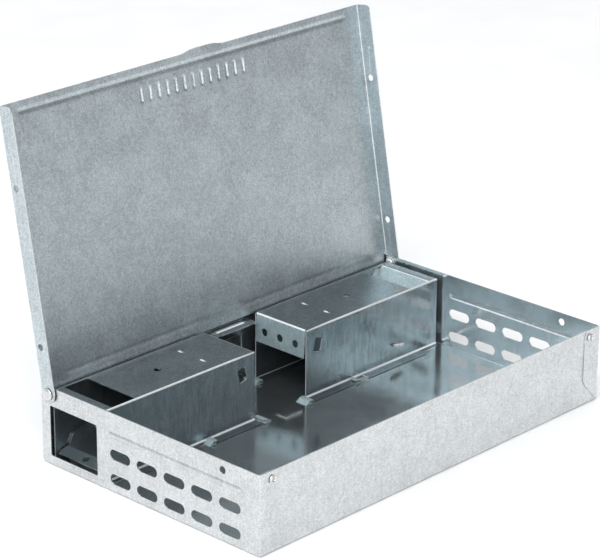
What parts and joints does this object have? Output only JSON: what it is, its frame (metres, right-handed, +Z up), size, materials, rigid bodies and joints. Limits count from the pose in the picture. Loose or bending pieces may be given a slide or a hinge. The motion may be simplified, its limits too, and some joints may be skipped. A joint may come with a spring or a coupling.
{
  "type": "multi-catch mouse trap",
  "caption": "Low galvanised sheet box with see-saw ramp tunnels at both ends of its rear wall, vent slots in the side walls and a riveted lid that swings open.",
  "frame": {"origin": "centre of the base's underside, midway between the walls' outer faces", "axes": "+X along the long side to the right door, +Y to the rear wall with the lid's hinge, +Z up"},
  "size_m": [0.2726, 0.1865, 0.1918],
  "materials": {
    "galvanised_sheet": "bright galvanised steel sheet with a fine spangle",
    "galvanised_inner_sheet": "galvanised steel sheet, darker and smoother, with faint rolling lines",
    "bright_steel": "zinc-plated steel rivets and wire",
    "plain_steel": "plain dull steel"
  },
  "bodies": {
    "base": {"base_pan": "galvanised_sheet", "rear_shelf": "galvanised_inner_sheet", "left_tunnel_cover": "galvanised_inner_sheet", "right_tunnel_cover": "galvanised_inner_sheet", "left_hinge_rivet": "bright_steel", "right_hinge_rivet": "bright_steel", "left_hinge_washer": "bright_steel", "right_hinge_washer": "bright_steel", "front_left_corner_rivet": "bright_steel", "front_right_corner_rivet": "bright_steel", "rear_left_corner_rivet": "bright_steel", "rear_right_corner_rivet": "bright_steel"},
    "lid": {"lid": "galvanised_sheet"},
    "left_ramp": {"left_ramp": "galvanised_inner_sheet", "left_ramp_counterweight": "plain_steel", "left_ramp_pivot_wire": "bright_steel"},
    "right_ramp": {"right_ramp": "galvanised_inner_sheet", "right_ramp_counterweight": "plain_steel", "right_ramp_pivot_wire": "bright_steel"}
  },
  "joints": [
    {"name": "lid_hinge", "type": "hinge", "parent": "base", "child": "lid", "pos_m": [0, 0.0727, 0.0408], "axis": [1, 0, 0], "range_deg": [0, 100.2]},
    {"name": "left_ramp_pivot", "type": "hinge", "parent": "base", "child": "left_ramp", "pos_m": [-0.10035, 0.0543, 0.0099], "axis": [0, 1, 0], "range_deg": [0, 17]},
    {"name": "right_ramp_pivot", "type": "hinge", "parent": "base", "child": "right_ramp", "pos_m": [0.10035, 0.0543, 0.0099], "axis": [0, -1, 0], "range_deg": [0, 17]}
  ]
}
